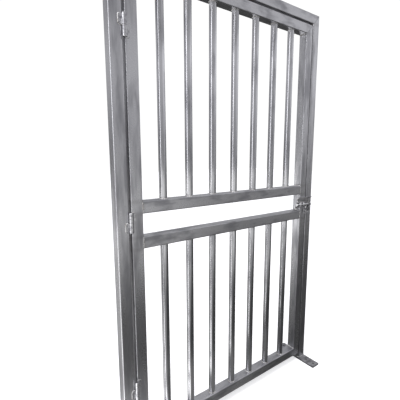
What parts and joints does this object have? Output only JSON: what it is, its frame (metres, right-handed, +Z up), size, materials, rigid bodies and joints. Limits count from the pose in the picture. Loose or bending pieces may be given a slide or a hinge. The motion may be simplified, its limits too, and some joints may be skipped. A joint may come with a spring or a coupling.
{
  "type": "garden gate",
  "caption": "Pedestrian steel gate in its own frame: box-section leaf with upright round bars, weld-on lift-off-proof hinges, slide bolt and bolt-down feet.",
  "frame": {"origin": "on the floor, midway between the two posts and at their mid-depth", "axes": "+X from the hinge side to the latch side, +Y from the front to the back, +Z up"},
  "size_m": [1.22, 0.27, 2.06],
  "materials": {
    "frame_tube": "mill-finish mild steel box section, semi-gloss",
    "leaf_tube": "mill-finish mild steel box section, semi-gloss",
    "round_bar": "smooth drawn round tube, glossier than the box section",
    "foot_plate": "hot-rolled flat bar, dull",
    "hinge_barrel": "turned bright steel",
    "hinge_pin": "ground steel",
    "washer": "zinc-plated steel thrust washer",
    "latch_plate": "folded sheet steel, semi-gloss",
    "latch_rod": "bent round steel rod and flat lug",
    "bolt": "drawn round bar, rubbed bright where it slides"
  },
  "bodies": {
    "frame": {"hinge_post": "frame_tube", "latch_post": "frame_tube", "header": "frame_tube", "hinge_side_foot": "foot_plate", "latch_side_foot": "foot_plate", "bottom_hinge_post_half": "hinge_barrel", "middle_hinge_post_half": "hinge_barrel", "top_hinge_post_half": "hinge_barrel", "bottom_hinge_pin": "hinge_pin", "middle_hinge_pin": "hinge_pin", "top_hinge_pin": "hinge_pin", "bottom_hinge_washer": "washer", "middle_hinge_washer": "washer", "top_hinge_washer": "washer", "keeper_plate": "latch_plate", "keeper_staple": "latch_rod"},
    "leaf": {"hinge_stile": "leaf_tube", "latch_stile": "leaf_tube", "top_rail": "leaf_tube", "bottom_rail": "leaf_tube", "upper_mid_rail": "leaf_tube", "lower_mid_rail": "leaf_tube", "upper_bar_1": "round_bar", "upper_bar_2": "round_bar", "upper_bar_3": "round_bar", "upper_bar_4": "round_bar", "upper_bar_5": "round_bar", "upper_bar_6": "round_bar", "upper_bar_7": "round_bar", "lower_bar_1": "round_bar", "lower_bar_2": "round_bar", "lower_bar_3": "round_bar", "lower_bar_4": "round_bar", "lower_bar_5": "round_bar", "lower_bar_6": "round_bar", "lower_bar_7": "round_bar", "bottom_hinge_leaf_half": "hinge_barrel", "middle_hinge_leaf_half": "hinge_barrel", "top_hinge_leaf_half": "hinge_barrel", "latch_plate": "latch_plate", "inner_bolt_guide": "latch_rod", "outer_bolt_guide": "latch_rod", "padlock_lug": "latch_rod"},
    "bolt": {"bolt_bar": "bolt", "bolt_handle": "bolt"}
  },
  "joints": [
    {"name": "gate_swing", "type": "hinge", "parent": "frame", "child": "leaf", "pos_m": [-0.555, -0.0345, 1], "axis": [0, 0, -1], "range_deg": [0, 170]},
    {"name": "bolt_slide", "type": "slide", "parent": "leaf", "child": "bolt", "axis": [1, 0, 0], "range_m": [0, 0.022]}
  ]
}
